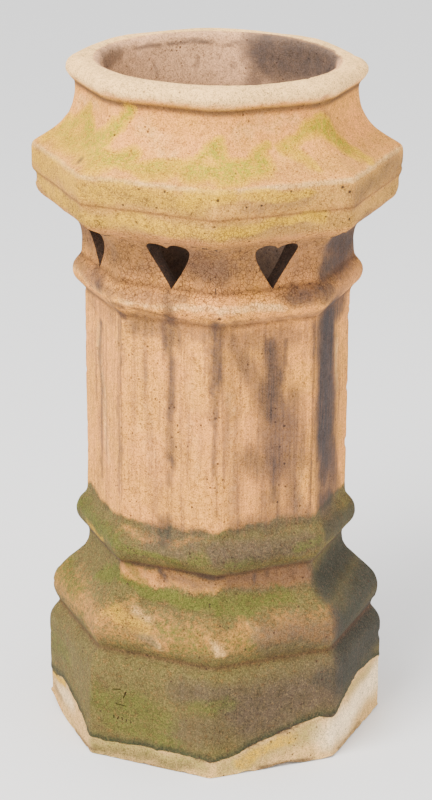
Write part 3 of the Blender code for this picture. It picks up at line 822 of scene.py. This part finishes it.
def build_fireclay(settings, pits):
    """Fireclay, pressed and fired buff without a glaze: matt and sandy, so that it scatters light evenly.

    Over it lie lichen crusts, a film of algae, brown damp, soot, and pale bare clay where the foot was bedded.
    Painted shade and painted highlights lie on it too.
    """
    bench = NodeBench("unglazed_fireclay")
    add = bench.add
    tint = {name: linear(code) for name, code in TINTS.items()}
    mark = {kind: add("Attribute", {"attribute_name": kind}, "Fac") for kind in MARKS}
    grain = {}
    for name, (size_mm, detail, rough, stretch) in GRAINS.items():
        place = add("Mapping", Vector=bench.place, Scale=stretch)
        grain[name] = add("TexNoise", Vector=place, Scale=1 / (size_mm * MM), Detail=detail, Roughness=rough)
    shown = {}
    for name, (source, low, high) in SHOWN.items():
        shown[name] = add("MapRange", EASED, Value=grain[source], From_Min=low, From_Max=high)

    def mixed(*parts):
        """Adds textures up, each by its weight."""
        total, *others = [add("Math", TIMES, _0=texture, _1=weight) for texture, weight in parts]
        for other in others:
            total = add("Math", PLUS, _0=total, _1=other)
        return total

    def cover(kind, texture, reach, soft, more=0.0):
        """How far a painted mark covers the clay: torn at its edge and worn thin inside by a texture."""
        torn = add("Math", GAIN, _0=texture, _1=reach, _2=mark[kind])
        middle = 0.5 + 0.5 * reach - more
        torn = add("MapRange", EASED, Value=torn, From_Min=middle - soft, From_Max=middle + soft)
        painted = add("MapRange", EASED, Value=mark[kind], From_Min=0.02, From_Max=0.30)
        return add("Math", TIMES, _0=torn, _1=painted)

    def lay(under, over, amount, strength):
        """Lays a colour over what is under it."""
        share = add("Math", TIMES, _0=amount, _1=strength)
        return add("Mix", LAYERED, 2, _0=share, _6=under, _7=over)

    patchy, mottle, fine = grain["patchy"], grain["mottle"], grain["fine"]

    # The clay itself, with the marks of its drying and firing, and painted highlights.
    chosen = (settings.clay_buff, settings.clay_peach, settings.clay_pale)
    buff, peach, pale_and_highlight = (linear(hex_of(colour)) for colour in chosen)
    running = add("Math", TIMES, _0=mark["streaked"], _1=0.6)
    clay = add("Mix", LAYERED, 2, _0=shown["peach"], _6=buff, _7=peach)
    clay = lay(clay, tint["streak"], shown["streak"], running)
    # Pale washed clay, and painted highlights along the crown's arris and the upper bead.
    clay = lay(clay, pale_and_highlight, cover("pale_and_highlight", patchy, 0.9, 0.4), 0.85)
    clay = lay(clay, tint["ochre"], cover("ochre", mottle, 0.9, 0.4), 0.75)
    clay = lay(clay, tint["fleck"], add("Math", TIMES, _0=mark["ochre"], _1=shown["fleck"]), 0.7)

    # Damp, which runs down the shaft, with painted shade under the lip, at the creases and round the neck under
    # the crown; and the film of algae over the foot.
    runny = mixed((grain["streaks"], running), (patchy, add("Math", LESS, _0=1.0, _1=running)))
    damp_and_shade = cover("brown_damp_and_shade", mixed((runny, 0.7), (fine, 0.3)), 1.6, 0.65)
    clay = lay(clay, tint["damp_and_shade"], damp_and_shade, 0.90)
    clay = lay(clay, tint["inside"], mark["inside"], 0.85)
    film = lay(tint["film"], tint["damp_film"], damp_and_shade, 0.9)
    film = lay(film, tint["pale_film"], shown["pale_film"], 0.35)
    film = lay(film, tint["dark_film"], shown["dark_film"], 0.45)
    clay = lay(clay, film, cover("film", mottle, 1.6, 0.5), 0.93)
    clay = lay(clay, tint["green"], cover("green", mottle, 1.3, 0.5), 0.72)

    # The bare foot, below the line that the mortar left.
    edge = add("Math", GAIN, _0=mottle, _1=0.10, _2=mark["mortar"])
    bare = add("MapRange", EASED, Value=edge, From_Min=0.565, From_Max=0.535)
    covered = add("Math", LESS, _0=1.0, _1=bare)
    clay = lay(clay, tint["bare"], bare, 0.97)
    clay = lay(clay, tint["dull_bare"], add("Math", TIMES, _0=bare, _1=shown["dull_bare"]), 0.6)
    clay = lay(clay, tint["pale_bare"], add("Math", TIMES, _0=bare, _1=mark["pale_and_highlight"]), 0.8)
    clay = lay(clay, tint["green_bare"], add("Math", TIMES, _0=bare, _1=cover("green", mottle, 1.2, 0.5)), 0.75)

    # Lichen crusts, greener at their middles, and the tide line.
    crust = cover("lichen", mixed((patchy, 0.45), (fine, 0.55)), 2.2, 0.45, 0.26)
    thick = add("MapRange", EASED, Value=mark["lichen"], From_Min=0.45, From_Max=0.95)
    core = add("Math", TIMES, _0=crust, _1=add("Math", TIMES, _0=thick, _1=shown["lichen_core"]))
    clay = lay(clay, tint["lichen"], crust, 0.90)
    clay = lay(clay, tint["lichen_core"], core, 0.70)
    near_edge = add("MapRange", EASED, Value=edge, From_Min=0.85, From_Max=0.60)
    clay = lay(clay, tint["tide"], add("Math", TIMES, _0=near_edge, _1=covered), 0.80)

    # Soot, dirt in the chips, and painted shade in the creases and the cuts.
    grime = add("Math", TIMES, _0=cover("soot", mixed((runny, 0.5), (fine, 0.5)), 1.9, 0.85, 0.12), _1=covered)
    grime_tone = add("Mix", LAYERED, 2, _0=mark["film"], _6=tint["soot"], _7=tint["soot_on_film"])
    clay = lay(clay, grime_tone, grime, 0.93)
    clay = lay(clay, tint["dirt"], cover("dirt", mottle, 1.2, 0.5), 0.85)
    # Painted shade in the creases between the members.
    clay = lay(clay, tint["crease_shade"], mark["crease_shade"], 0.65)
    # Painted shade: a dark tone on the walls inside the hearts and on the floors of the strokes.
    clay = add("Mix", LAYERED, 2, _0=mark["shaded_cuts"], _6=clay, _7=tint["cut_shade_tone"])

    # Crazing, pores, pits, and specks and scrapes in the surface.
    cracks = {"feature": "DISTANCE_TO_EDGE"}
    cells = add("TexVoronoi", cracks, "Distance", Vector=shaken(bench, 2.0), Scale=1 / CRAZING_CELL)
    crack = add("MapRange", EASED, Value=cells, From_Min=0.09, From_Max=0.01)
    crack = add("Math", TIMES, _0=crack, _1=shown["crazing"])
    crazed = add("Math", TIMES, _0=crack, _1=add("Math", PLUS, _0=mark["crazed"], _1=0.15))
    clay = lay(clay, tint["crazing"], crazed, 0.75)
    pushed = shaken(bench, 1.5)
    dots = add("TexVoronoi", {"feature": "F1"}, "Distance", Vector=pushed, Scale=1 / PORE_SPACING)
    pores = add("MapRange", EASED, Value=dots, From_Min=0.19, From_Max=0.08)
    pores = add("Math", TIMES, _0=pores, _1=shown["pores"])
    clay = lay(clay, tint["pore"], pores, 0.85)
    pitted = 0.0
    for middle, width in pits:
        away = add("VectorMath", {"operation": "DISTANCE"}, "Value", _0=pushed, _1=middle)
        hole = add("MapRange", EASED, Value=away, From_Min=width * MM, From_Max=0.5 * width * MM)
        pitted = add("Math", MOST, _0=pitted, _1=hole)
    clay = lay(clay, tint["pit"], pitted, 0.9)
    clay = lay(clay, tint["speck"], shown["speck"], 0.40)
    clay = lay(clay, tint["scrape"], shown["scrape"], add("Math", TIMES, _0=mark["streaked"], _1=0.36))

    lightness = LIGHTNESS_START
    for name, contrast in LIGHTNESS.items():
        lightness = add("Math", GAIN, _0=grain[name], _1=contrast, _2=lightness)
    bench.link(add("VectorMath", {"operation": "SCALE"}, _0=clay, Scale=lightness), "Base Color")
    bench.shader.inputs["Roughness"].default_value = settings.roughness
    bench.shader.inputs["Specular IOR Level"].default_value = 0.25

    rubbed = add("Math", PLUS, _0=grain["scrapes"], _1=grain["rings"])
    relief = mixed((fine, 0.45), (grain["sand"], 0.30), (rubbed, 0.10), (crust, 0.14))
    hollows = add("Math", TIMES, _0=add("Math", PLUS, _0=pores, _1=pitted), _1=0.5)
    relief = add("Math", LESS, _0=relief, _1=hollows)
    relief = add("Math", LESS, _0=relief, _1=add("Math", TIMES, _0=crazed, _1=0.2))
    bench.link(add("Bump", Strength=0.9, Distance=1.3 * MM, Height=relief), "Normal")
    return bench.material


class PotSettings(bpy.types.PropertyGroup):
    """Sizes of the clay's unevenness and its colours."""

    slump: FloatProperty(
        name="Slump", description="Depth of the broad unevenness",
        default=0.9 * MM, unit="LENGTH",
    )
    dents: FloatProperty(name="Dents", description="Depth of the tool dents", default=0.35 * MM, unit="LENGTH")
    grain: FloatProperty(
        name="Grain", description="Depth of the coarse grain",
        default=0.16 * MM, unit="LENGTH",
    )
    crumbs: FloatProperty(
        name="Crumbs", description="How far the bottom edge has crumbled",
        default=2.2 * MM, unit="LENGTH",
    )
    roughness: FloatProperty(name="Roughness", description="Roughness of the clay", default=0.92, min=0, max=1)
    clay_buff: FloatVectorProperty(
        name="Buff clay", description="Main tone",
        subtype="COLOR_GAMMA", default=(0.90, 0.61, 0.25),
    )
    clay_peach: FloatVectorProperty(
        name="Peach clay", description="Warmer tone",
        subtype="COLOR_GAMMA", default=(0.89, 0.59, 0.28),
    )
    # The pale clay is also the colour of the painted highlights along the crown's arris and the upper bead.
    clay_pale: FloatVectorProperty(
        name="Pale clay", description="Washed rim",
        subtype="COLOR_GAMMA", default=(1.0, 0.81, 0.52),
    )


class StageSettings(bpy.types.PropertyGroup):
    """The plain studio."""

    floor_size: FloatProperty(name="Floor", description="Width of the floor", default=40.0, unit="LENGTH")
    key_power: FloatProperty(
        name="Key light", description="Power of the soft light on the left",
        default=165.0, min=0,
    )
    fill_power: FloatProperty(
        name="Fill light", description="Power of the soft light on the right",
        default=24.0, min=0,
    )
    sky: FloatProperty(name="Surround", description="Brightness of the white surround", default=1.62, min=0)


class POT_OT_clay(bpy.types.Operator):
    """Models the weathered pot over its solid."""

    bl_idname = "pot.clay"
    bl_label = "Weathered pot"

    def execute(self, context):
        settings = context.scene.pot_settings
        outside, inside = read_section(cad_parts[NODE])
        section_flats = (outside[:, 0] + outside[:, 2] * (1 / cos(HALF_SIDE) - 1)) * cos(HALF_SIDE)
        section_levels = outside[:, 1].copy()
        outside = softened(respaced(outside, OUTSIDE_STEP), 2)
        inside = softened(respaced(inside, INSIDE_STEP, 40 * MM), 1)
        body = turned(PIECE, outside, inside)
        press_octagon(body, outside, inside)
        points = roughen(body.data, settings)
        lean_by_hand(points)
        points = np.clip(points, np.array(cad_low) + 0.00002, np.array(cad_high) - 0.00002)
        points[:, 2] = np.maximum(points[:, 2], 0)
        move_points(body.data, points)
        cut_vents(body)
        cut_strokes(body)
        paint_weather(body, section_levels, section_flats)
        body.data.materials.clear()
        pits = []
        for bearing, level, width in PITS:
            found, place, _, _ = body.closest_point_on_mesh(outward(bearing) * 0.2 + Vector((0, 0, level)))
            if not found:
                raise RuntimeError("a pit has no clay under it")
            pits.append((place, width))
        body.data.materials.append(build_fireclay(settings, pits))
        body.data.shade_smooth()
        body.data.set_sharp_from_angle(angle=radians(42))
        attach(body, "root")
        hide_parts(NODE)
        return {"FINISHED"}


def area_light(name, place, target, size, power, colour):
    """A large soft light at a place, aimed at a point."""
    light = bpy.data.lights.new(name, "AREA")
    light.shape = "DISK"
    light.size = size
    light.energy = power
    light.color = colour
    lamp = bpy.data.objects.new(name, light)
    bpy.context.scene.collection.objects.link(lamp)
    aim = (Vector(target) - Vector(place)).to_track_quat("-Z", "Y")
    lamp.matrix_world = Matrix.Translation(place) @ aim.to_matrix().to_4x4()


class POT_OT_stage(bpy.types.Operator):
    """Sets the floor, the soft lights, the white surround and the photograph's camera."""

    bl_idname = "pot.stage"
    bl_label = "Studio and camera"

    def execute(self, context):
        settings = context.scene.stage_settings
        bpy.ops.object.select_all(action="DESELECT")
        bpy.ops.mesh.primitive_plane_add(size=settings.floor_size, location=(0, 0, -0.0005))
        floor = bpy.context.view_layer.objects.active
        floor.name = "floor"
        paper = NodeBench("matt_white_paper")
        paper.shader.inputs["Base Color"].default_value = (0.86, 0.86, 0.86, 1)
        paper.shader.inputs["Roughness"].default_value = 1.0
        floor.data.materials.append(paper.material)

        world = bpy.data.worlds.new("white_surround")
        context.scene.world = world
        world.use_nodes = True
        world.node_tree.nodes["Background"].inputs["Color"].default_value = (1, 1, 1, 1)
        world.node_tree.nodes["Background"].inputs["Strength"].default_value = settings.sky

        middle = (0, 0, 0.4)
        above_left = outward(-42) * 1.9 + Vector((0, 0, 2.85))
        to_the_right = outward(40) * 2.8 + Vector((0, 0, 1.0))
        area_light("key_light", above_left, middle, 1.6, settings.key_power, (1, 0.98, 0.95))
        area_light("fill_light", to_the_right, middle, 2.0, settings.fill_power, (0.97, 0.98, 1))

        camera = bpy.data.cameras.new("camera")
        camera.sensor_fit = "VERTICAL"
        camera.sensor_height = FILM
        camera.lens = FOCAL_PIXELS / PHOTO_HEIGHT * FILM
        viewer = bpy.data.objects.new("camera", camera)
        context.scene.collection.objects.link(viewer)
        viewer.matrix_world = (
            Matrix.Rotation(radians(FRONT_ARRIS), 4, "Z")
            @ Matrix.Translation((CAMERA_ASIDE, -CAMERA_DISTANCE, CAMERA_HEIGHT))
            @ Matrix.Rotation(radians(90 - CAMERA_PITCH), 4, "X")
            @ Matrix.Rotation(radians(CAMERA_ROLL), 4, "Z")
        )
        context.scene.camera = viewer
        return {"FINISHED"}


class POT_PT_panel(bpy.types.Panel):
    """Lists the pot's operators and settings."""

    bl_idname = "POT_PT_panel"
    bl_label = "Chimney Pot"
    bl_space_type = "VIEW_3D"
    bl_region_type = "UI"
    bl_category = "Chimney Pot"

    def draw(self, context):
        for settings, operator in (
            (context.scene.pot_settings, POT_OT_clay),
            (context.scene.stage_settings, POT_OT_stage),
        ):
            for key in settings.__annotations__:
                self.layout.prop(settings, key)
            self.layout.operator(operator.bl_idname)


CLASSES = (PotSettings, StageSettings, POT_OT_clay, POT_OT_stage, POT_PT_panel)


def register():
    for item in CLASSES:
        bpy.utils.register_class(item)
    bpy.types.Scene.pot_settings = PointerProperty(type=PotSettings)
    bpy.types.Scene.stage_settings = PointerProperty(type=StageSettings)


def unregister():
    del bpy.types.Scene.pot_settings
    del bpy.types.Scene.stage_settings
    for item in reversed(CLASSES):
        bpy.utils.unregister_class(item)


def main():
    register()
    bpy.ops.pot.stage()
    bpy.ops.pot.clay()


if __name__ == "__main__":
    main()
